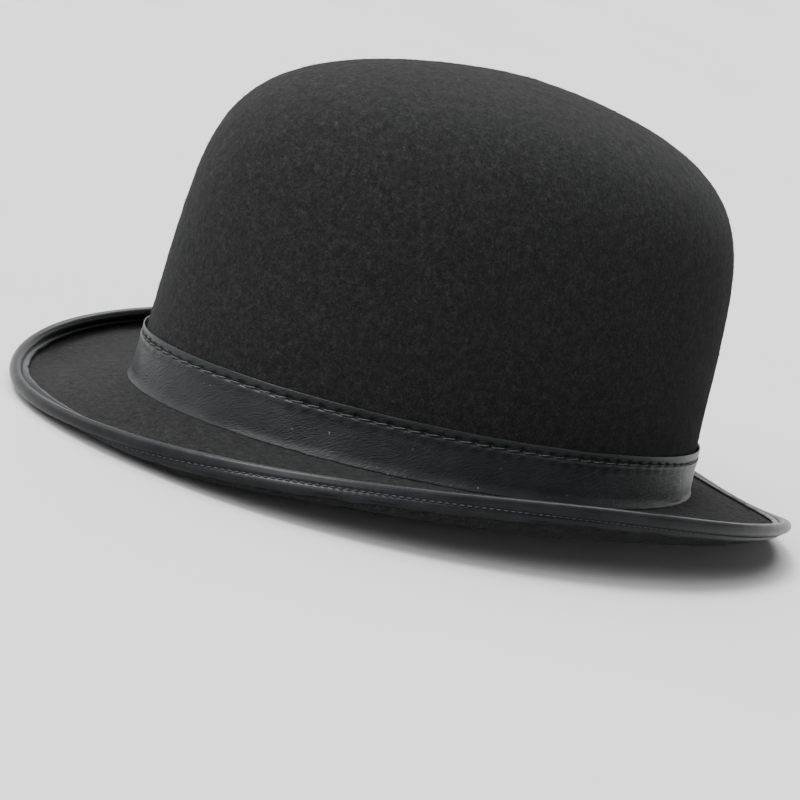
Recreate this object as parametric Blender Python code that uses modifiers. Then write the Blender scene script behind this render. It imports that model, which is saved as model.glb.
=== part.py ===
"""Bowler hat: a moulded felt body with an imitation-leather hat band and brim binding, and inside it a sweatband
on a reed, a two-piece lining, a small back bow and a blank size label.

Metres, +Z up. The brow is at -Y, the nape at +Y and the wearer's left at +X. The hat stands on the front and back
of its brim, at Z = 0. Angles run round the crown from the brow, through the wearer's left, to the nape.
"""

import bpy
import numpy as np

MM = 0.001
STATIONS = 60  # every ring has its corners at these same angles, so that the gaps between rings hold

# Crown, outer surface, above the level of the brim break
CROWN_HALF_WIDTH = 84.0 * MM
CROWN_HALF_LENGTH = 106.0 * MM
CROWN_HEIGHT = 135.5 * MM
CROWN_TAPER = 0.059  # share of its width the wall loses by the top
CROWN_SHOULDER = (7.45, 1.71)  # exponents of the shoulder: height, then width
CROWN_LEAN = 2.4 * MM  # how far the top sits behind the base
CROWN_EGG = 0.012  # the back is wider than the brow by this share, and the brow narrower
CROWN_CENTRE_Y = 3.0 * MM
BREAK_HEIGHT = 7.43 * MM  # of the brim break's level above the floor

# Brim, middle of its thickness
BRIM_HALF_WIDTH = 134.0 * MM
BRIM_HALF_LENGTH = 144.8 * MM
BRIM_ROOT = 1.4 * MM
BRIM_HEIGHTS = np.array([-4.9, 1.0, 8.5, 15.3, 12.3, 3.9, -5.2]) * MM  # of the rim, brow to nape
BRIM_CURLS = np.radians([-8, 114, 92, 49, -1])  # how far the rim turns up, brow to nape
ROOT_SLOPES = (0.136, -0.132)  # rise over run where the brim leaves the crown: sides, then ends
HANDLES = (0.58, 0.395)  # lengths of the section's two handles, as shares of the brim's width

FELT = 2.2 * MM
BREAK_RADIUS = 4.0 * MM
GAP = 0.3 * MM
TOP_FLAT = 0.055  # share of the crown's width that is flat at the very top
WALL_RINGS = (0.17, 0.34, 0.5, 0.64, 0.75)  # shares of the crown's height
SHOULDER_TURNS = np.radians((28, 38, 48, 58, 68, 78))  # from the wall to the top

# Hat band: heights above the brim break's level
BAND_BOTTOM, BAND_TOP = 3.2 * MM, 21.6 * MM
BAND_STITCH = 18.3 * MM
BAND_STITCH_DROP, BAND_TOP_DROP = 2.4 * MM, 1.6 * MM  # how much lower they run at the nape
NAPE_START, NAPE_END = np.radians((110, 170))  # from the front, either way round
BAND_SKIN = 0.9 * MM
BAND_GROOVE = 0.45 * MM
BAND_LAP_STATION = 43  # on the wearer's right, behind the middle
BAND_LAP = 0.6 * MM

# Brim binding: distances in from the rim along the felt
BINDING_REACH = 6.5 * MM
FELT_EDGE = 1.8 * MM
BINDING_STITCH = 3.9 * MM  # where its section also bends with the felt's
BINDING_SKIN = 0.7 * MM
BINDING_GROOVE = 0.35 * MM
BINDING_GROOVE_SIDES = 0.6 * MM  # from its middle to where it starts
BINDING_GAP = 0.3 * MM
BINDING_LAP_STATION = 36  # on the wearer's right, near the nape
BINDING_LAP = 0.45 * MM  # how much thicker the binding is there

THREAD = 0.22 * MM  # radius
THREAD_SIDES = 5

# Inside the crown: heights above the brim break's level
SWEATBAND_BOTTOM, SWEATBAND_TOP = 0.6 * MM, 33.0 * MM
SWEATBAND_SKIN = 0.8 * MM
SWEATBAND_STITCH = 3.4 * MM
REED = 0.7 * MM  # radius
LINING_BOTTOM = 10.0 * MM
LINING_SKIN = 0.4 * MM
LINING_GAP = 0.5 * MM
SEAM_GAP = 0.4 * MM

BOW_HALF_LENGTH, BOW_HALF_HEIGHT = 15.0 * MM, 4.0 * MM
BOW_HEIGHT = 18.0 * MM
LABEL_SIZE = (24.0 * MM, 14.0 * MM)
LABEL_ANGLE = np.radians(222)

COLLECTION = "bowler_hat"
MATERIALS = {  # colour, roughness, metallic
    "wool_felt": ((0.028, 0.029, 0.030), 0.95, 0.0),
    "imitation_leather": ((0.045, 0.050, 0.053), 0.5, 0.0),
    "band_thread": ((0.16, 0.15, 0.12), 0.7, 0.0),
    "binding_thread": ((0.02, 0.022, 0.03), 0.7, 0.0),
    "sweatband_cloth": ((0.02, 0.02, 0.022), 0.8, 0.0),
    "lining_satin": ((0.012, 0.012, 0.014), 0.35, 0.0),
    "ribbon": ((0.015, 0.015, 0.018), 0.6, 0.0),
    "plastic_reed": ((0.55, 0.55, 0.52), 0.5, 0.0),
    "label_cloth": ((0.62, 0.61, 0.58), 0.8, 0.0),
}


def angles():
    return (np.arange(STATIONS) + 0.5) * 2 * np.pi / STATIONS


def keyed(values, t):
    """A smooth even curve round the hat through values at equal steps from brow to nape."""
    order = np.arange(len(values))
    steps = np.pi * order / (len(values) - 1)
    terms = np.linalg.solve(np.cos(np.outer(steps, order)), values)
    return np.cos(np.outer(np.atleast_1d(t), order)) @ terms


def unit(v):
    return v / np.linalg.norm(v, axis=-1, keepdims=True)


# ---------------------------------------------------------------- the shape of the hat


def crown_share(u):
    """The crown's width at a share u of its height, against its width at the base."""
    rise, spread = CROWN_SHOULDER
    return (1 - CROWN_TAPER * u) * np.maximum(0.0, 1 - u**rise) ** (1 / spread)


def crown_ring(t, z, inset=0.0, share=None):
    """Points at height z on the crown's surface lying inset inside the outer one, the height included."""
    tall = CROWN_HEIGHT - inset
    k = crown_share(np.maximum(0.0, z / tall)) if share is None else share
    wide = (CROWN_HALF_WIDTH - inset) * k
    long = (CROWN_HALF_LENGTH - inset) * k
    x = wide * np.sin(t) * (1 - CROWN_EGG * np.cos(t))
    y = CROWN_CENTRE_Y + CROWN_LEAN * z / CROWN_HEIGHT - long * np.cos(t)
    return np.stack([x, y, np.full_like(x, BREAK_HEIGHT + z)], -1)


def shoulder_heights():
    return np.sin(SHOULDER_TURNS) ** (2 / CROWN_SHOULDER[0])


def crown_rings(t, inset, shares):
    return [crown_ring(t, share * (CROWN_HEIGHT - inset), inset) for share in shares]


def wall_ring(t, z, out):
    """Points at height z a distance out from the crown's outer surface, level with the floor."""
    ring = crown_ring(t, z)
    k = crown_share(np.maximum(0.0, z / CROWN_HEIGHT))
    away = np.stack([np.sin(t) / (CROWN_HALF_WIDTH * k), -np.cos(t) / (CROWN_HALF_LENGTH * k), 0 * t], -1)
    return ring + unit(away) * out


def brim_handles(t):
    """The four control points of the brim's section at each angle."""
    sine, cosine = np.sin(t), np.cos(t)
    root = crown_ring(t, 0.0)
    root[:, 2] = BREAK_HEIGHT + BRIM_ROOT
    rim = np.stack([BRIM_HALF_WIDTH * sine, -BRIM_HALF_LENGTH * cosine,
                    BREAK_HEIGHT + keyed(BRIM_HEIGHTS, t)], -1)
    width = np.linalg.norm((rim - root)[:, :2], axis=1)
    out = (rim - root) * [1, 1, 0] / width[:, None]
    up = np.array([0, 0, 1.0])
    slope = ROOT_SLOPES[0] * sine**2 + ROOT_SLOPES[1] * cosine**2
    curl = keyed(BRIM_CURLS, t)
    leave = (out + slope[:, None] * up) * (width * HANDLES[0])[:, None]
    arrive = (np.cos(curl)[:, None] * out + np.sin(curl)[:, None] * up) * (width * HANDLES[1])[:, None]
    return root, root + leave, rim - arrive, rim


def brim_point(handles, v):
    a, b, c, d = handles
    v = v[:, None]
    return (1 - v) ** 3 * a + 3 * v * (1 - v) ** 2 * b + 3 * v**2 * (1 - v) * c + v**3 * d


def along_brim(t, distance, from_rim=True):
    """Where each section is at a distance in from the rim, or out from the crown, measured along it."""
    handles = brim_handles(t)
    steps = np.linspace(0, 1, 121)
    line = np.stack([brim_point(handles, np.full(len(t), v)) for v in steps])
    run = np.concatenate([np.zeros((1, len(t))), np.linalg.norm(np.diff(line, axis=0), axis=2).cumsum(0)])
    if from_rim:
        run = run[-1] - run
        return np.array([np.interp(-distance, -run[:, i], steps) for i in range(len(t))])
    return np.array([np.interp(distance, run[:, i], steps) for i in range(len(t))])


def brim_frame(t, distance):
    """Point, direction to the rim and upward normal of the brim at a distance in from its rim."""
    small = 1e-4
    v = along_brim(t, distance)
    here = brim_point(brim_handles(t), v)
    out = unit(here - brim_point(brim_handles(t), v - small))
    ahead = brim_point(brim_handles(t + small), along_brim(t + small, distance))
    round_ = unit(ahead - here)
    up = unit(np.cross(out, round_))
    return here, unit(np.cross(round_, up)), up


def off_brim(t, distance, height):
    """Points a height above the middle of the brim's felt, at a distance in from the rim."""
    here, _, up = brim_frame(t, distance)
    return here + up * height


# ---------------------------------------------------------------- meshes


def new_object(name, points, faces, material):
    mesh = bpy.data.meshes.new(name)
    mesh.from_pydata([tuple(p) for p in points], [], faces)
    mesh.update()
    mesh.materials.append(MADE[material])
    made = bpy.data.objects.new(name, mesh)
    HAT.objects.link(made)
    return made


def faces_between(rings, size, closed):
    """Quads between successive rings of a size, the last joined back to the first where closed."""
    last = rings if closed else rings - 1
    return [
        (i * size + j, i * size + (j + 1) % size, (i + 1) % rings * size + (j + 1) % size, (i + 1) % rings * size + j)
        for i in range(last)
        for j in range(size)
    ]


def cut_in_two(quads, inward):
    """Each quad as two triangles, cut the same way across the brim whichever way its rings run."""
    cut = []
    for (a, b, c, d), towards_crown in zip(quads, inward):
        cut += [(a, b, c), (a, c, d)] if towards_crown else [(a, b, d), (b, c, d)]
    return cut


def ring_solid(name, section, material, inward=None):
    """A closed loop of one section. section is a list of rings, each a corner of the section at every station.

    inward, where given, says for each ring whether the next one lies nearer the crown."""
    points = np.concatenate(section)
    size = len(section[0])
    faces = faces_between(len(section), size, True)
    if inward:
        faces = cut_in_two(faces, np.repeat(inward, size))
    return new_object(name, points, faces, material)


def dome(name, rings, top, material):
    """An open sheet of rings from the edge to a single point at the top."""
    size = len(rings[0])
    faces = cut_in_two(faces_between(len(rings), size, False), np.ones((len(rings) - 1) * size))
    first = (len(rings) - 1) * size
    faces += [(first + j, first + (j + 1) % size, first + size) for j in range(size)]
    return new_object(name, np.concatenate([*rings, top[None]]), faces, material)


def thicken(made, thickness, offset):
    solid = made.modifiers.new("thickness", "SOLIDIFY")
    solid.thickness = thickness
    solid.offset = offset
    solid.use_even_offset = True


def add_stations(section, station, shares):
    """The section with more stations on the straight between two, so that a lap's step can be short."""
    made = []
    for ring in section:
        a, b = ring[station], ring[(station + 1) % STATIONS]
        extra = [a + (b - a) * share for share in shares]
        made.append(np.insert(ring, station + 1, extra, axis=0))
    return made


def thread_section(middle, side, up, radius=THREAD):
    turns = np.arange(THREAD_SIDES) * 2 * np.pi / THREAD_SIDES
    return [middle + radius * (np.cos(a) * side + np.sin(a) * up) for a in turns]


# ---------------------------------------------------------------- pieces


def make_felt_body():
    """Crown and brim in one sheet down its middle, thickened both ways."""
    t, half = angles(), FELT / 2
    edge = (FELT_EDGE, BINDING_STITCH, BINDING_REACH, 9 * MM, 12 * MM, 16 * MM, 21 * MM, 28 * MM)
    rings = [off_brim(t, distance, 0.0) for distance in edge]
    handles, foot_v = brim_handles(t), along_brim(t, BREAK_RADIUS, from_rim=False)
    rings.append(brim_point(handles, (foot_v + along_brim(t, edge[-1])) / 2))
    foot = brim_point(handles, foot_v)
    head = crown_ring(t, BRIM_ROOT + BREAK_RADIUS, half)
    corner = crown_ring(t, BRIM_ROOT, half)
    for s in (0, 0.35, 0.65, 1):
        rings.append((1 - s) ** 2 * foot + 2 * s * (1 - s) * corner + s**2 * head)
    rings += crown_rings(t, half, WALL_RINGS + tuple(shoulder_heights()))
    rings.append(crown_ring(t, CROWN_HEIGHT - half, half, TOP_FLAT))
    top = np.array([0, CROWN_CENTRE_Y + CROWN_LEAN, BREAK_HEIGHT + CROWN_HEIGHT - half])
    thicken(dome("felt_body", rings, top, "wool_felt"), FELT, 0)


def band_heights(t):
    """The band's stitching and top edge, which both run lower round the nape."""
    share = np.clip((np.abs((t + np.pi) % (2 * np.pi) - np.pi) - NAPE_START) / (NAPE_END - NAPE_START), 0, 1)
    drop = share**2 * (3 - 2 * share)
    return BAND_STITCH - BAND_STITCH_DROP * drop, BAND_TOP - BAND_TOP_DROP * drop


def make_hat_band():
    """A strip round the foot of the crown, grooved along its stitching, its ends lapped on the wearer's right."""
    t = angles()
    face = BAND_SKIN + GAP
    stitch, top = band_heights(t)
    outside = [  # height, distance out from the crown
        (BAND_BOTTOM, 1.5 * MM + BAND_SKIN),
        (BAND_BOTTOM + 1.2 * MM, 0.6 * MM + face),
        (BAND_BOTTOM + 3.0 * MM, face),
        (stitch - 0.8 * MM, face),
        (stitch, face - BAND_GROOVE),
        (stitch + 0.8 * MM, face),
        (top - 0.3 * MM, face - 0.05 * MM),
        (top, face - 0.35 * MM),
    ]
    inside = [(top, GAP), (BAND_BOTTOM + 2.6 * MM, GAP), (BAND_BOTTOM + 0.9 * MM, 0.7 * MM),
              (BAND_BOTTOM, 1.5 * MM)]
    section = [wall_ring(t, z, out) for z, out in outside + inside]
    shares = (0.06, 0.12, 0.94)
    section = add_stations(section, BAND_LAP_STATION, shares)
    raised = slice(BAND_LAP_STATION + 2, BAND_LAP_STATION + 4)
    away = unit(section[3][raised] - section[-3][raised])
    for ring in section[: len(outside)]:
        ring[raised] += away * BAND_LAP
    ring_solid("hat_band", section, "imitation_leather")


def make_hat_band_thread():
    """The row of top stitching, lying in the band's groove."""
    t = angles()
    out = GAP + BAND_SKIN - BAND_GROOVE + THREAD + 0.15 * MM
    stitch, _ = band_heights(t)
    middle = wall_ring(t, stitch, out)
    side = unit(wall_ring(t, stitch, out + MM) - middle)
    section = thread_section(middle, side, np.array([0, 0, 1.0]))
    section = add_stations(section, BAND_LAP_STATION, (0.06, 0.12, 0.94))
    raised = slice(BAND_LAP_STATION + 2, BAND_LAP_STATION + 4)
    for ring in section:
        ring[raised] += side[BAND_LAP_STATION] * BAND_LAP
    ring_solid("hat_band_thread", section, "band_thread")


def make_brim_binding():
    """A tape folded over the rim: its two legs lie along the felt and its fold is half round."""
    t = angles()
    inner = FELT / 2 + BINDING_GAP
    outer = inner + BINDING_SKIN
    knee = BINDING_STITCH
    centre, out, up = brim_frame(t, outer)

    def fold(radius, degrees):
        a = np.radians(degrees)
        return centre + radius * (np.cos(a) * out + np.sin(a) * up)

    stitch, side = BINDING_STITCH, BINDING_GROOVE_SIDES
    leg = [  # distance in from the rim, height above the felt's middle
        (BINDING_REACH, outer - 0.25 * MM),
        (BINDING_REACH - 0.4 * MM, outer),
        (stitch + side, outer),
        (stitch, outer - BINDING_GROOVE),
        (stitch - side, outer),
    ]
    section = [off_brim(t, distance, height) for distance, height in leg]
    section += [fold(outer, a) for a in (90, 45, 0, -45, -90)]
    section += [off_brim(t, distance, -height) for distance, height in leg[::-1]]
    outside = len(section)
    section += [off_brim(t, BINDING_REACH, -inner), off_brim(t, knee, -inner)]
    section += [fold(inner, a) for a in (-90, -30, 30, 90)]
    section += [off_brim(t, knee, inner), off_brim(t, BINDING_REACH, inner)]
    section = add_stations(section, BINDING_LAP_STATION, (0.06, 0.12, 0.80))
    raised = slice(BINDING_LAP_STATION + 2, BINDING_LAP_STATION + 4)
    middle = sum(ring[raised] for ring in (section[3], section[outside - 4])) / 2
    for ring in section[:outside]:
        ring[raised] += unit(ring[raised] - middle) * BINDING_LAP
    inward = [False] * 7 + [True] * 8 + [False] * 4 + [True] * 4
    ring_solid("brim_binding", section, "imitation_leather", inward)


def make_binding_thread(name, side):
    """One row of the stitching through the binding: the needle thread on top, the bobbin thread beneath."""
    t = angles()
    stand = FELT / 2 + BINDING_GAP + BINDING_SKIN - BINDING_GROOVE + 0.25 * MM + THREAD
    here, out, up = brim_frame(t, BINDING_STITCH)
    section = thread_section(here + up * stand * side, out, up)
    section = add_stations(section, BINDING_LAP_STATION, (0.06, 0.12, 0.80))
    raised = slice(BINDING_LAP_STATION + 2, BINDING_LAP_STATION + 4)
    for ring in section:
        ring[raised] += up[BINDING_LAP_STATION] * side * BINDING_LAP
    ring_solid(name, section, "binding_thread")


def sweatband_depths():
    """How far inside the crown's outer surface the sweatband's two faces lie, above the lining's foot."""
    outer = FELT + LINING_GAP + LINING_SKIN + GAP
    return outer, outer + SWEATBAND_SKIN


def make_sweatband():
    """A strip standing inside the crown, its lower edge at the brim break."""
    t = angles()
    outer, inner = sweatband_depths()
    section = [
        wall_ring(t, SWEATBAND_BOTTOM, -outer),
        wall_ring(t, SWEATBAND_TOP - 0.3 * MM, -outer),
        wall_ring(t, SWEATBAND_TOP, -outer - 0.2 * MM),
        wall_ring(t, SWEATBAND_TOP, -inner + 0.2 * MM),
        wall_ring(t, SWEATBAND_TOP - 0.3 * MM, -inner),
        wall_ring(t, SWEATBAND_BOTTOM, -inner),
    ]
    ring_solid("sweatband", section, "sweatband_cloth")


def round_section(t, z, out, radius, sides):
    middle = wall_ring(t, z, out)
    side = unit(wall_ring(t, z, out + MM) - middle)
    up = np.array([0, 0, 1.0])
    turns = np.arange(sides) * 2 * np.pi / sides
    return [middle + radius * (np.cos(a) * side + np.sin(a) * up) for a in turns]


def make_sweatband_reed():
    """The stiff cord along the sweatband's lower edge, against the felt."""
    outer, _ = sweatband_depths()
    out = -outer + 0.2 * MM + REED
    ring_solid("sweatband_reed", round_section(angles(), SWEATBAND_STITCH - 0.3 * MM - REED, out, REED, 6),
               "plastic_reed")


def make_sweatband_thread():
    """The row of stitches that holds the sweatband in, just above its lower edge."""
    _, inner = sweatband_depths()
    ring_solid("sweatband_thread",
               round_section(angles(), SWEATBAND_STITCH, -inner - 0.1 * MM - THREAD, THREAD, THREAD_SIDES),
               "binding_thread")


def make_lining_side():
    """The strip of lining round the crown's wall, its foot behind the sweatband."""
    t = angles()
    outer = FELT + LINING_GAP
    seam = shoulder_heights()[0] - SEAM_GAP / CROWN_HEIGHT
    shares = (LINING_BOTTOM / CROWN_HEIGHT, *WALL_RINGS, seam)
    faces = crown_rings(t, outer, shares) + crown_rings(t, outer + LINING_SKIN, shares[::-1])
    ring_solid("lining_side", faces, "lining_satin")


def make_lining_tip():
    """The oval that closes the lining under the crown's top, as a sheet thickened inwards."""
    t, inset = angles(), FELT + LINING_GAP
    heights = shoulder_heights()
    rings = crown_rings(t, inset, (heights[0] + SEAM_GAP / CROWN_HEIGHT, *heights[1:]))
    top = np.array([0, CROWN_CENTRE_Y + CROWN_LEAN, BREAK_HEIGHT + CROWN_HEIGHT - inset])
    thicken(dome("lining_tip", rings, top, "lining_satin"), LINING_SKIN, -1)


def make_lining_seam_thread():
    """The seam that joins the tip to the side."""
    t = angles()
    inset = FELT + LINING_GAP + LINING_SKIN + 0.15 * MM + THREAD
    z = shoulder_heights()[0] * (CROWN_HEIGHT - inset)
    middle = crown_ring(t, z, inset)
    away = unit(crown_ring(t, z + 0.5 * MM, inset - MM) - middle)
    round_ = unit(np.roll(middle, -1, axis=0) - np.roll(middle, 1, axis=0))
    ring_solid("lining_seam_thread", thread_section(middle, away, np.cross(away, round_)), "lining_satin")


def on_sweatband(angle, along, height, clear):
    """Points on the sweatband's inner face: along it from an angle, at a height, standing clear of it."""
    _, inner = sweatband_depths()
    fine = angle + np.linspace(-0.6, 0.6, 241)
    ring = wall_ring(fine, height, -inner - clear)
    run = np.concatenate([[0], np.linalg.norm(np.diff(ring, axis=0), axis=1).cumsum()])
    run -= run[len(fine) // 2]
    return wall_ring(np.interp(along, run, fine), height, -inner - clear)


def strip_on_sweatband(name, angle, profile, middle, clear, material):
    """A closed strip along the sweatband. profile lists (distance along, half height, thickness)."""
    along, half, thick = (np.array(column) for column in zip(*profile))
    corners = []
    for side, face in ((-1, 0), (1, 0), (1, 1), (-1, 1)):
        rows = [
            on_sweatband(angle, np.array([s]), middle + side * h, clear + face * d)[0]
            for s, h, d in zip(along, half, thick)
        ]
        corners.append(np.array(rows))
    points = np.stack(corners, 1).reshape(-1, 3)
    faces = faces_between(len(along), 4, False)
    last = (len(along) - 1) * 4
    faces += [(3, 2, 1, 0), (last, last + 1, last + 2, last + 3)]
    return new_object(name, points, faces, material)


def make_sweatband_bow():
    """A flat bow at the nape, pinched where the wrap goes round it."""
    length, height = BOW_HALF_LENGTH, BOW_HALF_HEIGHT
    profile = [(-length, height, 1.0 * MM), (-length * 0.55, height * 0.92, 1.5 * MM),
               (-length * 0.18, height * 0.62, 1.1 * MM), (length * 0.18, height * 0.62, 1.1 * MM),
               (length * 0.55, height * 0.92, 1.5 * MM), (length, height, 1.0 * MM)]
    strip_on_sweatband("sweatband_bow", np.pi, profile, BOW_HEIGHT, 0.95 * MM, "ribbon")


def make_sweatband_bow_wrap():
    """The short ribbon round the bow's middle, a closed loop with the bow passing through it."""
    half_wide = BOW_HALF_LENGTH * 0.14
    hole = BOW_HALF_HEIGHT * 0.62 + 0.3 * MM
    loops = []
    for grow, near, far in ((0.0, 0.65 * MM, 2.35 * MM), (0.35 * MM, 0.30 * MM, 2.70 * MM)):
        for side in (-1, 1):
            edge = [
                on_sweatband(np.pi, np.array([side * half_wide]), BOW_HEIGHT + h, clear)[0]
                for h, clear in ((-hole - grow, near), (hole + grow, near), (hole + grow, far), (-hole - grow, far))
            ]
            loops.append(np.array(edge))
    inner_left, inner_right, outer_left, outer_right = loops
    points = np.concatenate([inner_left, inner_right, outer_right, outer_left])
    new_object("sweatband_bow_wrap", points, faces_between(4, 4, True), "ribbon")


def make_size_label():
    """A blank woven label sewn to the sweatband."""
    long, tall = LABEL_SIZE
    profile = [(s * long, tall / 2, 0.4 * MM) for s in (-0.5, -0.25, 0, 0.25, 0.5)]
    strip_on_sweatband("size_label", LABEL_ANGLE, profile, BOW_HEIGHT + 1 * MM, 0.35 * MM, "label_cloth")


def outward(made):
    """Faces turned outwards, by the sign of the volume they enclose."""
    mesh = made.data
    if made.modifiers:
        return
    volume = 0.0
    for face in mesh.polygons:
        corners = [mesh.vertices[i].co for i in face.vertices]
        for b, c in zip(corners[1:], corners[2:]):
            volume += corners[0].dot(b.cross(c))
    if volume < 0:
        mesh.flip_normals()


def make_materials():
    made = {}
    for name, (colour, roughness, metallic) in MATERIALS.items():
        material = bpy.data.materials.new(name)
        material.use_nodes = True
        shader = material.node_tree.nodes["Principled BSDF"]
        shader.inputs["Base Color"].default_value = (*colour, 1)
        shader.inputs["Roughness"].default_value = roughness
        shader.inputs["Metallic"].default_value = metallic
        material.diffuse_color = (*colour, 1)
        made[name] = material
    return made


for old in list(bpy.data.objects):
    bpy.data.objects.remove(old, do_unlink=True)
HAT = bpy.data.collections.new(COLLECTION)
bpy.context.scene.collection.children.link(HAT)
MADE = make_materials()

make_felt_body()
make_hat_band()
make_hat_band_thread()
make_brim_binding()
make_binding_thread("binding_needle_thread", 1)
make_binding_thread("binding_bobbin_thread", -1)
make_sweatband()
make_sweatband_reed()
make_sweatband_thread()
make_lining_side()
make_lining_tip()
make_lining_seam_thread()
make_sweatband_bow()
make_sweatband_bow_wrap()
make_size_label()
for hat_object in HAT.objects:
    outward(hat_object)
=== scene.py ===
"""The bowler hat's look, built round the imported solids. Metres, +Z up, brow at -Y, wearer's left at +X."""

import bpy
import numpy as np
from mathutils import Matrix, Vector, noise


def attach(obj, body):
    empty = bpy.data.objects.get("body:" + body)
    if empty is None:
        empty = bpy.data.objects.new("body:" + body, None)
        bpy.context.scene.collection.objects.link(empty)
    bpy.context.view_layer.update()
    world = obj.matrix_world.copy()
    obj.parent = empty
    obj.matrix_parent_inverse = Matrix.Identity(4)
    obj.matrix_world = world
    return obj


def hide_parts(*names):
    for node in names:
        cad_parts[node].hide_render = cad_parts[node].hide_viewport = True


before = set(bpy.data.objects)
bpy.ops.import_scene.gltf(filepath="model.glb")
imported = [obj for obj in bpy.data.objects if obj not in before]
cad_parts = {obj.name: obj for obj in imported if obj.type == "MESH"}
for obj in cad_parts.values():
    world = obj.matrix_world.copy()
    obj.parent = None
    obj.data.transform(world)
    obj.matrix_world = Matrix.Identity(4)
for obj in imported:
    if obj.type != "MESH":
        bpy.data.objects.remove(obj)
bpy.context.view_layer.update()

MM = 0.001

# The driving sizes, as in the solids
CROWN_HALF_WIDTH, CROWN_HALF_LENGTH, CROWN_HEIGHT = 84.0 * MM, 106.0 * MM, 135.5 * MM
CROWN_TAPER, SHOULDER_RISE, SHOULDER_SPREAD = 0.059, 7.45, 1.71
CROWN_LEAN, CROWN_EGG, CROWN_CENTRE_Y = 2.4 * MM, 0.012, 3.0 * MM
BREAK_HEIGHT = 7.43 * MM  # of the line where the brim meets the crown
BRIM_HALF_WIDTH, BRIM_HALF_LENGTH, BRIM_ROOT = 134.0 * MM, 144.8 * MM, 1.4 * MM
BRIM_HEIGHTS = np.array([-4.9, 1.0, 8.5, 15.3, 12.3, 3.9, -5.2]) * MM
BRIM_CURLS = np.radians([-8, 114, 92, 49, -1])
ROOT_SLOPES, HANDLES = (0.136, -0.132), (0.58, 0.395)
FELT, BREAK_RADIUS, GAP = 2.2 * MM, 4.0 * MM, 0.3 * MM
BAND_BOTTOM, BAND_TOP, BAND_STITCH, BAND_SKIN = 3.2 * MM, 21.6 * MM, 18.3 * MM, 0.9 * MM
BAND_STITCH_DROP, BAND_TOP_DROP = 2.4 * MM, 1.6 * MM
BAND_PITCH, BINDING_PITCH = 5.75 * MM, 2.3 * MM
BINDING_REACH, BINDING_STITCH, BINDING_SKIN = 6.5 * MM, 3.9 * MM, 0.7 * MM
FELT_EDGE = 1.8 * MM  # how far the felt's own edge is in from the rim
SWEATBAND_BOTTOM, SWEATBAND_TOP, SWEATBAND_SKIN = 0.6 * MM, 33.0 * MM, 0.8 * MM
SWEATBAND_STITCH, SWEATBAND_ROUND, OVERCASTS = 3.4 * MM, 0.575, 150
LINING_BOTTOM, LINING_SKIN, LINING_GAP = 10.0 * MM, 0.4 * MM, 0.5 * MM
LINING_SEAM = np.radians(28)
SWEATBAND_INSET = FELT + LINING_GAP + LINING_SKIN + GAP
BOW_HEIGHT, LABEL_HEIGHT, LABEL_LONG, LABEL_TALL = 18.0 * MM, 19.0 * MM, 24.0 * MM, 14.0 * MM
PIT = np.array([49.0, -55.7, 118.3]) * MM  # a small dent in the crown's felt
# Angles round the hat go from the brow at 0 by the wearer's left to the nape at 180
BAND_LAP, BINDING_LAP, LABEL_ANGLE = np.radians(262), np.radians(219), np.radians(222)
UP = np.array([0, 0, 1.0])
RNG = np.random.RandomState(11)

FELT_COLUMNS = 456
BAND_COLUMNS = 1700
BINDING_COLUMNS = 1400
SWEATBAND_COLUMNS, LINING_COLUMNS = 900, 720
FIBRES = 9000


# ---------------------------------------------------------------- the shape of the hat


def turns(count):
    return np.arange(count) * 2 * np.pi / count


def keyed(values, t):
    """A smooth curve through values at even angles from brow to nape, mirrored on the hat's other side."""
    order = np.arange(len(values))
    terms = np.linalg.solve(np.cos(np.outer(np.pi * order / (len(values) - 1), order)), values)
    return np.cos(np.outer(np.atleast_1d(t), order)) @ terms


def unit(v):
    return v / np.maximum(np.linalg.norm(v, axis=-1, keepdims=True), 1e-12)


def crown_share(u):
    """The crown's half sizes at a share u of its height, against those at its foot."""
    return (1 - CROWN_TAPER * u) * max(0.0, 1 - u**SHOULDER_RISE) ** (1 / SHOULDER_SPREAD)


def crown_ring(t, z, inset=0.0):
    tall = CROWN_HEIGHT - inset
    k = crown_share(max(0.0, z / tall))
    x = (CROWN_HALF_WIDTH - inset) * k * np.sin(t) * (1 - CROWN_EGG * np.cos(t))
    y = CROWN_CENTRE_Y + CROWN_LEAN * z / CROWN_HEIGHT - (CROWN_HALF_LENGTH - inset) * k * np.cos(t)
    return np.stack([x, y, np.full_like(x, BREAK_HEIGHT + z)], -1)


def away_from_crown(t, z):
    k = crown_share(max(0.0, z / CROWN_HEIGHT))
    across, along = np.sin(t) / (CROWN_HALF_WIDTH * k), -np.cos(t) / (CROWN_HALF_LENGTH * k)
    return unit(np.stack([across, along, 0 * t], -1))


def wall_ring(t, z, out):
    """Points at height z, out from the crown's outer surface. z and out may vary round the hat."""
    z, out = np.broadcast_to(z, t.shape), np.broadcast_to(out, t.shape)
    dome = (1 - (np.maximum(z, 0) / CROWN_HEIGHT) ** SHOULDER_RISE) ** (1 / SHOULDER_SPREAD)
    k = (1 - CROWN_TAPER * z / CROWN_HEIGHT) * dome
    x = CROWN_HALF_WIDTH * k * np.sin(t) * (1 - CROWN_EGG * np.cos(t))
    y = CROWN_CENTRE_Y + CROWN_LEAN * z / CROWN_HEIGHT - CROWN_HALF_LENGTH * k * np.cos(t)
    away = unit(np.stack([np.sin(t) / CROWN_HALF_WIDTH, -np.cos(t) / CROWN_HALF_LENGTH, 0 * t], -1))
    return np.stack([x, y, BREAK_HEIGHT + z], -1) + away * out[:, None]


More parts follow.
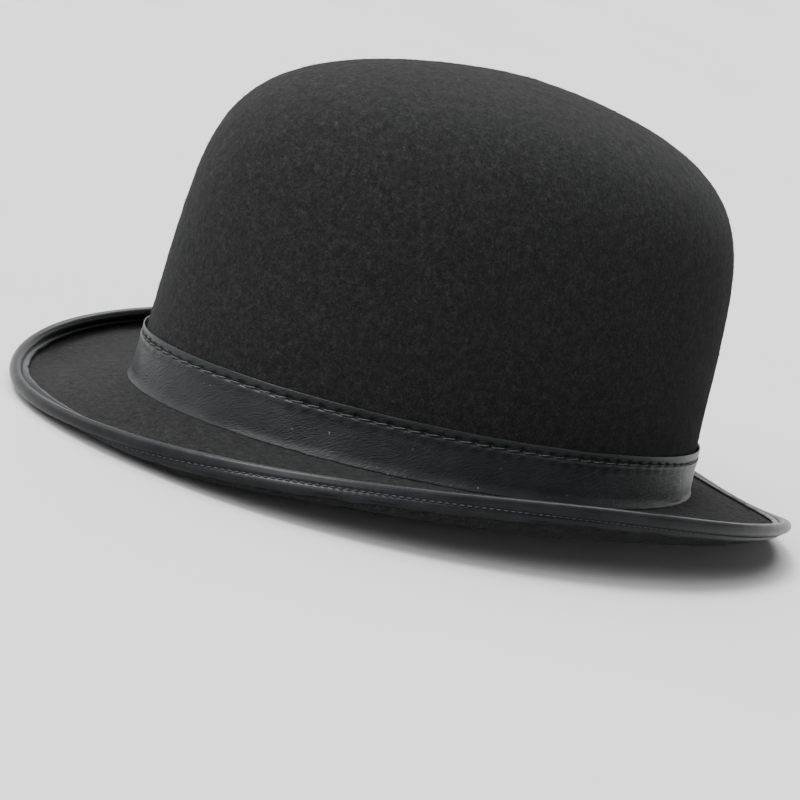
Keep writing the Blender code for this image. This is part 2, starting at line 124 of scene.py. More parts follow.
def brim_handles(t):
    """The four points of the brim's curve from the crown to the rim at each angle."""
    sine, cosine = np.sin(t), np.cos(t)
    root = crown_ring(t, 0.0)
    root[:, 2] = BREAK_HEIGHT + BRIM_ROOT
    rim = np.stack([BRIM_HALF_WIDTH * sine, -BRIM_HALF_LENGTH * cosine,
                    BREAK_HEIGHT + keyed(BRIM_HEIGHTS, t)], -1)
    width = np.linalg.norm((rim - root)[:, :2], axis=1)
    out = (rim - root) * [1, 1, 0] / width[:, None]
    slope = ROOT_SLOPES[0] * sine**2 + ROOT_SLOPES[1] * cosine**2
    curl = keyed(BRIM_CURLS, t)
    leave = (out + slope[:, None] * UP) * (width * HANDLES[0])[:, None]
    arrive = (np.cos(curl)[:, None] * out + np.sin(curl)[:, None] * UP) * (width * HANDLES[1])[:, None]
    return root, root + leave, rim - arrive, rim


def brim_point(handles, v):
    a, b, c, d = handles
    v = v[:, None]
    return (1 - v) ** 3 * a + 3 * v * (1 - v) ** 2 * b + 3 * v**2 * (1 - v) * c + v**3 * d


class Brim:
    """The middle of the brim's felt at a set of angles, with its length measured along each section."""

    def __init__(self, t):
        self.t, self.handles = t, brim_handles(t)
        self.steps = np.linspace(0, 1, 161)
        line = np.stack([brim_point(self.handles, np.full(len(t), v)) for v in self.steps])
        run = np.linalg.norm(np.diff(line, axis=0), axis=2).cumsum(0)
        self.run = np.concatenate([np.zeros((1, len(t))), run])
        self.length = self.run[-1]

    def share(self, distance):
        """Where each section is at a distance in from the rim."""
        want = self.length - np.broadcast_to(distance, self.t.shape)
        return np.array([np.interp(want[i], self.run[:, i], self.steps) for i in range(len(self.t))])

    def frame(self, distance):
        """A point at a distance in from the rim, the way out to the rim there, and the way up."""
        small = 1e-4
        v = self.share(distance)
        here = brim_point(self.handles, v)
        out = unit(here - brim_point(self.handles, v - small))
        round_ = unit(np.roll(here, -1, axis=0) - np.roll(here, 1, axis=0))
        up = unit(np.cross(out, round_))
        return here, unit(np.cross(round_, up)), up


# ---------------------------------------------------------------- meshes


def placed(name, data):
    made = bpy.data.objects.new(name, data)
    bpy.context.scene.collection.objects.link(made)
    return made


def meshed(name, points, faces, material):
    mesh = bpy.data.meshes.new(name)
    mesh.from_pydata(points.tolist(), [], faces)
    mesh.update()
    mesh.shade_smooth()
    mesh.materials.append(material)
    return placed(name, mesh)


def build(name, points, faces, material):
    """A piece of the hat."""
    made = meshed(name, points, faces, material)
    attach(made, "root")
    return made


def grid_faces(rows, columns, wrap_rows=False, wrap_columns=True, start=0, flip=False):
    i, j = np.meshgrid(np.arange(rows if wrap_rows else rows - 1),
                       np.arange(columns if wrap_columns else columns - 1), indexing="ij")
    i, j = i.ravel(), j.ravel()
    k, m = (i + 1) % rows, (j + 1) % columns
    corners = [i * columns + j, i * columns + m, k * columns + m, k * columns + j]
    faces = np.stack(corners[::-1] if flip else corners, 1) + start
    return faces.tolist()


def closed_ring(name, section, material):
    """A loop round the hat from a list of rings, in order round the section, faces outwards."""
    rings = np.stack(section)
    rows, columns = rings.shape[:2]
    made = build(name, rings.reshape(-1, 3), grid_faces(rows, columns, wrap_rows=True), material)
    face_out(made)
    return made


def face_out(made):
    """Turns a closed mesh's faces outwards."""
    mesh = made.data
    mesh.calc_loop_triangles()
    corners = np.empty(len(mesh.loop_triangles) * 3, np.int32)
    mesh.loop_triangles.foreach_get("vertices", corners)
    points = np.empty(len(mesh.vertices) * 3)
    mesh.vertices.foreach_get("co", points)
    a, b, c = points.reshape(-1, 3)[corners.reshape(-1, 3)].transpose(1, 0, 2)
    if (a * np.cross(b, c)).sum() < 0:
        mesh.flip_normals()


def two_skins(name, outer, inner, material):
    """A dome of two skins of rings, joined at their first rings and each closed by a fan at its last."""
    rows, columns = outer.shape[:2]
    offset = rows * columns
    tops = [outer[-1].mean(0), inner[-1].mean(0)]
    points = np.concatenate([outer.reshape(-1, 3), inner.reshape(-1, 3), tops])
    faces = grid_faces(rows, columns) + grid_faces(len(inner), columns, start=offset, flip=True)
    last, last_in, top = offset - columns, offset + (len(inner) - 1) * columns, len(points) - 2
    for j in range(columns):
        m = (j + 1) % columns
        faces += [(last + j, last + m, top), (last_in + m, last_in + j, top + 1)]
        faces.append((m, j, offset + j, offset + m))
    made = build(name, points, faces, material)
    face_out(made)
    return made


def vertices_of_loops(made):
    loops = np.empty(len(made.data.loops), np.int32)
    made.data.loops.foreach_get("vertex_index", loops)
    return loops


def cloth_uv(made, places):
    """A place on the cloth for each vertex, in metres, as the first UV map."""
    made.data.uv_layers.new(name="cloth").data.foreach_set("uv", places[vertices_of_loops(made)].ravel())


def sheet_normals(grid):
    """Normals of a grid of rings, the columns going round."""
    along = np.gradient(grid, axis=0)
    round_ = np.roll(grid, -1, axis=1) - np.roll(grid, 1, axis=1)
    return unit(np.cross(round_, along))


def lumps(points, scale, octaves=2):
    """Smooth noise about -1 to 1 at each point, its features about scale across."""
    flat = points.reshape(-1, 3) / scale
    values = np.array([noise.fractal(p, 0.7, 2.1, octaves) for p in flat.tolist()])
    return values.reshape(points.shape[:-1])


def tubes(paths, radius, sides, taper, ups=UP):
    """Vertices and faces of one closed tube along each path. paths is (tube, point, 3)."""
    count, steps = paths.shape[:2]
    ahead = unit(np.gradient(paths, axis=1))
    side = unit(np.cross(ahead, np.broadcast_to(ups, paths.shape)))
    up = np.cross(side, ahead)
    around = turns(sides)
    grow = 1 - taper * np.abs(np.linspace(-1, 1, steps)) ** 3
    ring = np.cos(around)[:, None] * side[:, :, None] + np.sin(around)[:, None] * up[:, :, None]
    points = paths[:, :, None] + ring * (np.asarray(radius) * grow[:, None, None])
    per = steps * sides
    one = np.array(grid_faces(steps, sides))
    caps = [list(range(sides))[::-1], [per - sides + k for k in range(sides)]]
    faces = (one[None] + (np.arange(count) * per)[:, None, None]).reshape(-1, 4).tolist()
    for k in range(count):
        faces += [[k * per + v for v in cap] for cap in caps]
    return points.reshape(-1, 3), faces


# ---------------------------------------------------------------- materials


class Nodes:
    """A short way of writing a node tree round one Principled shader."""

    def __init__(self, name, **sockets):
        self.material = bpy.data.materials.new(name)
        self.material.use_nodes = True
        self.tree = self.material.node_tree
        self.shader = self.tree.nodes["Principled BSDF"]
        for socket, value in sockets.items():
            self.shader.inputs[socket.replace("_", " ")].default_value = value

    def add(self, kind, settings=(), **sockets):
        node = self.tree.nodes.new(kind)
        for key, value in dict(settings).items():
            setattr(node, key, value)
        for key, value in sockets.items():
            name = key.replace("_", " ")
            if isinstance(value, bpy.types.NodeSocket):
                self.tree.links.new(value, node.inputs[name])
            else:
                node.inputs[name].default_value = value
        return node

    def math(self, operation, a, b=0.5):
        node = self.tree.nodes.new("ShaderNodeMath")
        node.operation = operation
        for socket, value in zip(node.inputs, (a, b)):
            if isinstance(value, bpy.types.NodeSocket):
                self.tree.links.new(value, socket)
            else:
                socket.default_value = value
        return node.outputs[0]

    def blend(self, *parts):
        """The sum of each value times its share."""
        scaled = [self.math("MULTIPLY", value, share) for value, share in parts]
        total = scaled[0]
        for part in scaled[1:]:
            total = self.math("ADD", total, part)
        return total

    def position(self, scale=(1, 1, 1), rotation=(0, 0, 0), source="Object"):
        where = self.tree.nodes.new("ShaderNodeTexCoord")
        mapping = self.add("ShaderNodeMapping", Scale=scale, Rotation=rotation)
        self.tree.links.new(where.outputs[source], mapping.inputs["Vector"])
        return mapping.outputs[0]

    def noise(self, vector, scale, detail=3.0, roughness=0.55, distortion=0.0):
        node = self.add("ShaderNodeTexNoise", Vector=vector, Scale=scale, Detail=detail, Roughness=roughness,
                        Distortion=distortion)
        return node.outputs["Fac"]

    def wave(self, vector, scale, direction, **sockets):
        settings = {"wave_type": "BANDS", "bands_direction": direction}
        return self.add("ShaderNodeTexWave", settings, Vector=vector, Scale=scale, **sockets).outputs["Fac"]

    def ramp(self, value, stops):
        node = self.tree.nodes.new("ShaderNodeValToRGB")
        self.tree.links.new(value, node.inputs[0])
        ramp = node.color_ramp
        while len(ramp.elements) < len(stops):
            ramp.elements.new(0.5)
        for element, (at, colour) in zip(ramp.elements, stops):
            element.position = at
            element.color = (*colour, 1)
        return node.outputs[0]

    def range(self, value, low, high, to_low, to_high):
        node = self.tree.nodes.new("ShaderNodeMapRange")
        self.tree.links.new(value, node.inputs[0])
        for socket, number in zip(list(node.inputs)[1:5], (low, high, to_low, to_high)):
            socket.default_value = number
        return node.outputs[0]

    def bump(self, height, distance, strength, normal=None):
        node = self.add("ShaderNodeBump", Height=height, Distance=distance, Strength=strength)
        if normal is not None:
            self.tree.links.new(normal, node.inputs["Normal"])
        return node.outputs[0]

    def feed(self, **sockets):
        for key, value in sockets.items():
            self.tree.links.new(value, self.shader.inputs[key.replace("_", " ")])
        return self.material


def felt_material(name="wool_felt", light=1.0):
    """Pressed wool: short matted fibres in wandering directions, with tiny gaps between them."""
    n = Nodes(name, Specular_IOR_Level=0.04, Sheen_Weight=0.02, Sheen_Roughness=0.5,
              Sheen_Tint=(0.8, 0.82, 0.82, 1))
    place = n.position()
    strands = n.noise(n.position((1, 0.95, 0.85), (0.2, 0.1, 0.0)), 1500, 3, 0.55, 1.6)
    clumps = n.noise(n.position((1, 0.95, 0.9), (0.2, 0.0, 0.2)), 700, 2, 0.5, 0.9)
    fine = n.noise(place, 2700, 2, 0.6)
    broad = n.noise(place, 420, 3, 0.6)
    mix = n.blend((strands, 0.42), (clumps, 0.20), (fine, 0.20), (broad, 0.18))
    shades = ((0.35, (0.0031, 0.0034, 0.0033)), (0.50, (0.0091, 0.0096, 0.0092)),
              (0.65, (0.0244, 0.0251, 0.0240)))
    # light scales every shade; above 1 it makes a lit copy of the felt, a painted sheen for the stray fibres
    colour = n.ramp(mix, [(at, tuple(light * c for c in shade)) for at, shade in shades])
    height = n.blend((strands, 0.7), (clumps, 0.5), (fine, 0.2))
    return n.feed(Base_Color=colour, Roughness=n.range(fine, 0, 1, 0.85, 1.0),
                  Normal=n.bump(height, 0.45 * MM, 0.8))


def leather_material(name, base, ripples, gloss, rough, specks):
    """Imitation leather: fine wandering ripples of a depth in millimetres, pores and specks of dust."""
    n = Nodes(name, Specular_IOR_Level=gloss)
    place = n.position()
    cloth = n.position(source="UV")
    drift = n.add("ShaderNodeVectorMath", {"operation": "MULTIPLY_ADD"})
    push = n.add("ShaderNodeTexNoise", Vector=cloth, Scale=85.0, Detail=2.0)
    n.tree.links.new(push.outputs["Color"], drift.inputs[0])
    drift.inputs[1].default_value = (0.006, 0.006, 0)
    n.tree.links.new(cloth, drift.inputs[2])
    turned = n.add("ShaderNodeMapping", Vector=drift.outputs[0], Rotation=(0, 0, -0.6)).outputs[0]
    turned = n.add("ShaderNodeMapping", Vector=turned, Scale=(560, 1850, 1)).outputs[0]
    ripple = n.noise(turned, 1.0, 1.5, 0.45, 0.4)
    calm = n.noise(n.position((70, 70, 1), source="UV"), 1.0, 2, 0.5)
    pores = n.noise(place, 2600, 2, 0.5)
    patches = n.noise(place, 55, 3, 0.6)
    dust = n.range(n.noise(place, 800, 0, 0.4), 0.845, 0.86, 0.0, 1.0)
    shade = n.blend((patches, 0.6), (ripple, 0.25))
    dark, light = tuple(c * 0.66 for c in base), tuple(c * 1.4 for c in base)
    colour = n.ramp(shade, [(0.25, dark), (0.44, base), (0.62, light)])
    speck = n.add("ShaderNodeMix", {"data_type": "RGBA"})
    n.tree.links.new(n.math("MULTIPLY", dust, specks), speck.inputs[0])
    n.tree.links.new(colour, speck.inputs[6])
    speck.inputs[7].default_value = (0.35, 0.36, 0.32, 1)
    height = n.math("MULTIPLY", ripple, n.range(calm, 0.3, 0.6, 0.6, 1.0))
    first = n.bump(height, ripples * MM, 0.9)
    return n.feed(Base_Color=speck.outputs[2], Roughness=n.range(patches, 0.3, 0.7, *rough),
                  Normal=n.bump(pores, 0.025 * MM, 0.45, first))


def thread_material(name, dark, light):
    """Spun thread: slanting plies and a little fuzz."""
    n = Nodes(name, Specular_IOR_Level=0.1)
    place = n.position((1, 1, 1), (0.6, 0.4, 0.3))
    ply = n.wave(place, 1300, "X", Distortion=1.5, Detail=1.0)
    fuzz = n.noise(n.position(), 1800, 3, 0.6)
    mix = n.blend((ply, 0.5), (fuzz, 0.5))
    colour = n.ramp(mix, [(0.25, dark), (0.75, light)])
    return n.feed(Base_Color=colour, Roughness=n.range(fuzz, 0, 1, 0.6, 0.85),
                  Normal=n.bump(mix, 0.05 * MM, 0.8))


def ribbed_material(name, dark, light, ribs):
    """Ribbed tape or ribbon: ribs across its length and threads along it."""
    n = Nodes(name, Specular_IOR_Level=0.25, Sheen_Weight=0.25, Sheen_Roughness=0.4)
    place = n.position(source="UV")
    rib = n.wave(place, ribs, "X", Distortion=0.3, Detail=1.0)
    thread = n.wave(place, ribs * 1.7, "Y", Distortion=0.4)
    wear = n.noise(n.position(), 60, 3, 0.6)
    mix = n.blend((rib, 0.6), (thread, 0.2))
    colour = n.ramp(n.blend((mix, 0.7), (wear, 0.3)), [(0.2, dark), (0.8, light)])
    return n.feed(Base_Color=colour, Roughness=n.range(wear, 0.3, 0.7, 0.7, 0.9),
                  Normal=n.bump(mix, 0.12 * MM, 0.8))


def satin_material():
    """Lining satin: fine threads across and a soft sheen."""
    n = Nodes("lining_satin", Sheen_Weight=0.15, Sheen_Roughness=0.3, Anisotropic=0.45)
    place = n.position(source="UV")
    weft = n.noise(n.position((1, 14, 1), source="UV"), 900, 2, 0.6)
    soft = n.noise(place, 30, 3, 0.6)
    shades = [(0.3, (0.006, 0.006, 0.007)), (0.7, (0.020, 0.020, 0.023))]
    colour = n.ramp(n.blend((weft, 0.5), (soft, 0.5)), shades)
    return n.feed(Base_Color=colour, Roughness=n.range(weft, 0.3, 0.7, 0.28, 0.42),
                  Normal=n.bump(weft, 0.03 * MM, 0.5))


def weave_material(name, dark, light, count):
    """Plain woven cloth."""
    n = Nodes(name, Sheen_Weight=0.2)
    place = n.position(source="UV")
    mix = n.math("MAXIMUM", n.wave(place, count, "X"), n.wave(place, count * 0.8, "Y"))
    soft = n.noise(n.position(), 120, 3, 0.6)
    colour = n.ramp(n.blend((mix, 0.5), (soft, 0.5)), [(0.25, dark), (0.8, light)])
    return n.feed(Base_Color=colour, Roughness=n.range(soft, 0.3, 0.7, 0.75, 0.9),
                  Normal=n.bump(mix, 0.08 * MM, 0.7))


def plastic_material():
    n = Nodes("reed_plastic", Coat_Weight=0.1)
    soft = n.noise(n.position(), 160, 3, 0.6)
    return n.feed(Base_Color=n.ramp(soft, [(0.3, (0.42, 0.42, 0.40)), (0.7, (0.60, 0.60, 0.57))]),
                  Roughness=n.range(soft, 0.3, 0.7, 0.35, 0.55), Normal=n.bump(soft, 0.05 * MM, 0.4))


def floor_material():
    n = Nodes("pale_floor", Roughness=0.9, Specular_IOR_Level=0.1)
    soft = n.noise(n.position(), 3, 2, 0.5)
    return n.feed(Base_Color=n.ramp(soft, [(0.3, (0.39, 0.39, 0.39)), (0.7, (0.41, 0.41, 0.41))]))


def strip_uv(made, section):
    """Metres along the strip and round its section as the first UV map."""
    rows, columns = section.shape[:2]
    step = np.linalg.norm(np.diff(section[:, ::8], axis=0), axis=2).mean(1)
    v = np.concatenate([[0], step.cumsum()])
    ring = section[rows // 3]
    u = np.concatenate([[0], np.linalg.norm(np.roll(ring, -1, axis=0) - ring, axis=1).cumsum()])
    loops = vertices_of_loops(made)
    i, j = (loops // columns).reshape(-1, 4), (loops % columns).reshape(-1, 4)
    j = np.where((j == 0) & (j.max(1, keepdims=True) == columns - 1), columns, j)
    v = np.append(v, v[-1] + 0.5 * MM)
    i = np.where((i == 0) & (i.max(1, keepdims=True) == rows - 1), rows, i)
    places = np.stack([u[j.ravel()], v[i.ravel()]], 1)
    made.data.uv_layers.new(name="strip").data.foreach_set("uv", places.ravel())


# ---------------------------------------------------------------- felt


def felt_middle(columns):
    """Rings down the middle of the felt from the rim to the crown's top."""
    t = turns(columns)
    brim = Brim(t)
    half = FELT / 2
    foot_gap = brim.length - BREAK_RADIUS
    shares = np.concatenate([[FELT_EDGE / foot_gap.mean(), 0.07, 0.10], np.linspace(0.13, 1, 34)])
    rings = []
    for share in (shares - shares[0]) / (1 - shares[0]):
        rings.append(brim_point(brim.handles, brim.share(FELT_EDGE + (foot_gap - FELT_EDGE) * share)))
    foot = rings[-1]
    head, corner = crown_ring(t, BRIM_ROOT + BREAK_RADIUS, half), crown_ring(t, BRIM_ROOT, half)
    for s in np.linspace(0, 1, 7)[1:]:
        rings.append((1 - s) ** 2 * foot + 2 * s * (1 - s) * corner + s**2 * head)
    tall = CROWN_HEIGHT - half
    start = (BRIM_ROOT + BREAK_RADIUS) / tall
    bend = 0.80  # the share of the height where the rings begin to be spaced by angle
    for u in np.linspace(start, bend, 46)[1:]:
        rings.append(crown_ring(t, u * tall, half))
    first = np.arcsin(bend ** (SHOULDER_RISE / 2))
    for turn in np.linspace(first, np.radians(89.3), 50)[1:]:
        rings.append(crown_ring(t, np.sin(turn) ** (2 / SHOULDER_RISE) * tall, half))
    return t, np.stack(rings)


def smooth_step(x):
    x = np.clip(x, 0, 1)
    return x * x * (3 - 2 * x)


def make_felt(material):
    """The felt in one piece. Gives back its outer and under faces with their normals."""
    t, middle = felt_middle(FELT_COLUMNS)
    normal = sheet_normals(middle)
    if normal[len(middle) // 2, 0] @ away_from_crown(t, 60 * MM)[0] < 0:
        normal = -normal
    rows = len(middle)
    outer = middle + normal * (FELT / 2)
    show = smooth_step(np.arange(rows) / 6)[:, None]
    rough = 0.16 * MM * lumps(outer, 5 * MM) + 0.10 * MM * lumps(outer, 1.9 * MM)
    slow = 0.35 * MM * lumps(outer, 45 * MM, 1)
    crown_part = smooth_step((outer[:, :, 2] - BREAK_HEIGHT - BAND_TOP) / (12 * MM))
    outer = outer + normal * (rough * show + slow * crown_part)[:, :, None]
    from_pit = np.linalg.norm(outer - PIT, axis=2)
    outer = outer - normal * (0.8 * MM * np.exp(-((from_pit / (1.1 * MM)) ** 2)))[:, :, None]
    # the under side keeps all of the brim's rings, and every third one inside the crown
    brim_rings = 44
    keep = np.unique(np.concatenate([np.arange(brim_rings), np.arange(brim_rings, rows, 3), [rows - 1]]))
    inner = (middle - normal * (FELT / 2))[keep]
    order = np.arange(len(keep))
    under = smooth_step(order / 6) * smooth_step((brim_rings + 2 - order) / 4)
    rough = 0.16 * MM * lumps(inner, 5 * MM) + 0.08 * MM * lumps(inner, 1.9 * MM)
    inner = inner - normal[keep] * (rough * under[:, None])[:, :, None]
    made = two_skins("felt_shell", outer, inner, material)
    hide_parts("felt_body")
    return outer, inner[:40], normal, normal[keep][:40]


def make_fuzz(name, surface, normals, count, material, rows=None):
    """Stray wool fibres: short bent hairs that lie on the felt and lift a little from it."""
    size = surface.shape[:2]
    low, high = rows or (4, size[0] - 2)
    ring = np.linalg.norm(np.roll(surface, -1, axis=1) - surface, axis=2)
    step = np.linalg.norm(np.gradient(surface, axis=0), axis=2)
    weight = (ring * step)[low:high].ravel()
    pick = RNG.choice(len(weight), count, p=weight / weight.sum())
    i, j = pick // size[1] + low, pick % size[1]
    base, up = surface[i, j], normals[i, j]
    side = unit(np.cross(up, RNG.normal(size=(count, 3))))
    bend = unit(np.cross(up, side)) * RNG.normal(0, 0.5, (count, 1))
    length = RNG.gamma(4.0, 0.42, (count, 1)) * MM
    lift = np.abs(RNG.normal(0, 0.28, (count, 1)))
    s = np.linspace(-0.5, 0.5, 4)[None, :, None]
    run = s * length[:, None]
    arch = (0.25 - s**2) * length[:, None]
    path = base[:, None] + side[:, None] * run + bend[:, None] * arch * 1.6 + up[:, None] * (
        0.02 * MM + arch * lift[:, None] * 1.6 + np.abs(run) * lift[:, None] * (s > 0) * 0.8)
    radius = RNG.uniform(0.022, 0.042, (count, 1, 1, 1)) * MM
    points, faces = tubes(path, radius, 3, 0.6, up[:, None])
    build(name, points, faces, material)


# ---------------------------------------------------------------- hat band


def band_heights(t):
    """The heights of the band's stitching and of its upper edge: both sink towards the nape."""
    share = smooth_step((np.abs((t + np.pi) % (2 * np.pi) - np.pi) - np.radians(110)) / np.radians(60))
    return BAND_STITCH - BAND_STITCH_DROP * share, BAND_TOP - BAND_TOP_DROP * share


def along_stitching(out):
    """The length of the band's stitching up to each angle, and the angles."""
    fine = turns(2880)
    ring = wall_ring(fine, band_heights(fine)[0], out)
    steps = np.linalg.norm(np.diff(np.concatenate([ring, ring[:1]]), axis=0), axis=1)
    return np.concatenate([[0], steps.cumsum()]), np.concatenate([fine, [2 * np.pi]])


def lapped(t, start, step, length, fade):
    """1 where one end of a strip lies over the other from start on, 0 elsewhere. The rest is in degrees."""
    beyond = np.degrees(t - start)
    return smooth_step(beyond / step) * (1 - smooth_step((beyond - length) / fade))


def felt_beside_crown(surface, t, out):
    """How high the felt's upper face is at a distance out from the crown's wall."""
    columns = surface.shape[1]
    around = turns(columns)
    wall, away = wall_ring(around, 0.0, 0.0), away_from_crown(around, 0.0)
    heights = []
    for j in range(columns):
        side = (surface[:, j] - wall[j]) @ away[j]
        low = (surface[:, j, 2] - BREAK_HEIGHT < 8 * MM) & (side > 0.2 * MM) & (side < 12 * MM)
        order = np.argsort(side[low])
        heights.append(np.interp(out, side[low][order], surface[low, j, 2][order] - BREAK_HEIGHT))
    return np.interp(t, np.append(around, 2 * np.pi), np.append(heights, heights[0]))


def make_band(material, thread, felt_face):
    columns = BAND_COLUMNS
    face = GAP + BAND_SKIN
    run, fine = along_stitching(face)
    count = int(round(run[-1] / BAND_PITCH))
    s = np.linspace(0, run[-1], columns, endpoint=False)
    t = np.interp(s, run, fine)
    stitch, top = band_heights(t)
    pitch = run[-1] / count
    phase = (s / pitch) % 1
    from_hole = np.where(phase > 0.5, phase - 1, phase) * pitch
    wander = np.interp(s / pitch, np.arange(count + 1), np.append(RNG.uniform(-1, 1, count), 0))
    # how hard each stitch pulls: least at the brow and towards the nape on the left side
    around = np.degrees(t)
    strength = (1 + 0.30 * wander) * (1 - 0.80 * smooth_step((around - 108) / 26) * (t < np.pi))
    strength *= 0.40 + 0.60 * smooth_step((around - 25) / 25) * (1 - smooth_step((around - 335) / 20))
    pull = np.exp(-((from_hole / (1.1 * MM)) ** 2))
    pillow = 0.5 + 0.5 * np.cos(2 * np.pi * (phase - 0.10))
    ends = np.sin(np.pi * np.arange(columns) / columns) ** 0.5
    ripple = 0.12 * np.sin(s / (37 * MM) * 2 * np.pi) + 0.08 * np.sin(s / (23 * MM) * 2 * np.pi + 1)
    wave = ends * MM * ripple
    # the foot turns out over the brim, least at the brow
    back_share = smooth_step((np.abs((t + np.pi) % (2 * np.pi) - np.pi) - np.radians(100)) / np.radians(40))
    flare = 0.28 - 0.20 * back_share
    turn_out = (1 - 0.45 * smooth_step((np.cos(t) - 0.35) / 0.5)) * (1 - 0.65 * back_share)

    def skirt(above):
        fold = 1.35 * np.clip(1 - above / 3.4, 0, 1) ** 2 + 0.40 * (1 - smooth_step(above / 9))
        return face + 0.12 * MM + MM * turn_out * fold

    def puff(below):
        """How far the leather swells under the stitches, in millimetres."""
        fade = smooth_step(below / 0.6) * (1 - smooth_step((below - 0.6) / 3.2))
        return (0.14 + 0.30 * pillow * strength) * fade

    foot = felt_beside_crown(felt_face, t, 2.0 * MM) - 0.12 * MM - (BAND_BOTTOM - 0.22 * MM)
    rows = []
    for z, out in ((-0.14, -0.80), (-0.22, -0.45), (-0.20, -0.12), (-0.08, 0.07), (0.10, 0.12)):
        rows.append((BAND_BOTTOM + z * MM + foot, skirt(0.35) + out * MM))
    for above in (0.4, 0.65, 0.95, 1.25):
        rows.append((BAND_BOTTOM + above * MM + foot, skirt(above)))
    low, high = BAND_BOTTOM + 1.6 * MM, stitch - 2.3 * MM
    for share in np.linspace(0, 1, 15):
        z = low + (high - low) * share
        rows.append((z + foot * (1 - smooth_step(share / 0.5)),
                     skirt((z - BAND_BOTTOM) / MM) + 0.5 * wave + puff((stitch - z) / MM) * MM))
    for below in (1.9, 1.6, 1.3, 1.05, 0.85, 0.65, 0.45, 0.25, 0.1, -0.05, -0.2, -0.4, -0.6, -0.8, -1.05,
                  -1.35, -1.7, -2.1, -2.5, -2.9):
        valley = 0.34 * np.exp(-(((below + 0.1) / 0.42) ** 2))
        bulge = puff(below)
        hole = 1.05 * pull * strength * np.exp(-(((below + 0.55) / 0.58) ** 2))
        stand = flare * smooth_step(-below / 3.0)
        out = face + 0.12 * MM + (bulge + stand - valley - hole) * MM + 0.6 * wave
        rows.append((stitch - below * MM, out))
    for z, out in ((-0.12, 0.11), (-0.04, 0.06), (-0.02, -0.03), (-0.06, -0.20), (-0.16, -0.34)):
        rows.append((top + z * MM + 0.5 * wave, face + (flare + out) * MM + wave))
    visible = len(rows)
    # down the band's back, which lies close to the felt
    for z, out in ((top - 1.2 * MM, 0.55), (stitch, 0.1), (BAND_BOTTOM + 6 * MM, 0.1),
                   (BAND_BOTTOM + 2.6 * MM, 0.15), (BAND_BOTTOM + 0.9 * MM, 0.8)):
        rows.append((z + 0 * s, out * MM + 0 * s))
    # the lap: one end lies over the other and steps down at its cut edge
    over = lapped(t, BAND_LAP, 0.28, 7, 3)
    lap_rise = 0.62 * MM
    section = np.stack([wall_ring(t, z, out + (lap_rise * over if k < visible else 0))
                        for k, (z, out) in enumerate(rows)])
    flat_part = slice(7, 22)
    swell = 0.09 * MM * lumps(section[flat_part], 9 * MM)
    section[flat_part] += away_from_crown(t, 0.0)[None] * swell[:, :, None]
    made = closed_ring("hat_band_strip", list(section), material)
    strip_uv(made, section)
    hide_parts("hat_band")

    steps = 11
    u, k = np.linspace(0, 1, steps), np.arange(count)[:, None]
    start = k * pitch + 0.70 * MM
    end = (k + 1) * pitch - (0.60 + 0.2 * RNG.uniform(-1, 1, (count, 1))) * MM
    where = (start + (end - start) * u).ravel()
    angle = np.interp(where, run, fine)
    arc = np.sin(np.pi * u)
    slant = (-0.14 + 0.42 * u + 0.08 * arc)[None] * MM * (1 + 0.4 * RNG.uniform(-1, 1, (count, 1)))
    rise = face - 0.10 * MM + (0.42 * arc**0.5 - 0.55 * (1 - arc) ** 8)[None] * MM
    rise = rise + lap_rise * np.interp(angle, t, over).reshape(count, steps)
    paths = wall_ring(angle, band_heights(angle)[0] + slant.ravel(), rise.ravel())
    points, faces = tubes(paths.reshape(count, steps, 3), 0.22 * MM, 7, 0.25)
    made = build("hat_band_stitches", points, faces, thread)
    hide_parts("hat_band_thread")


# ---------------------------------------------------------------- brim binding


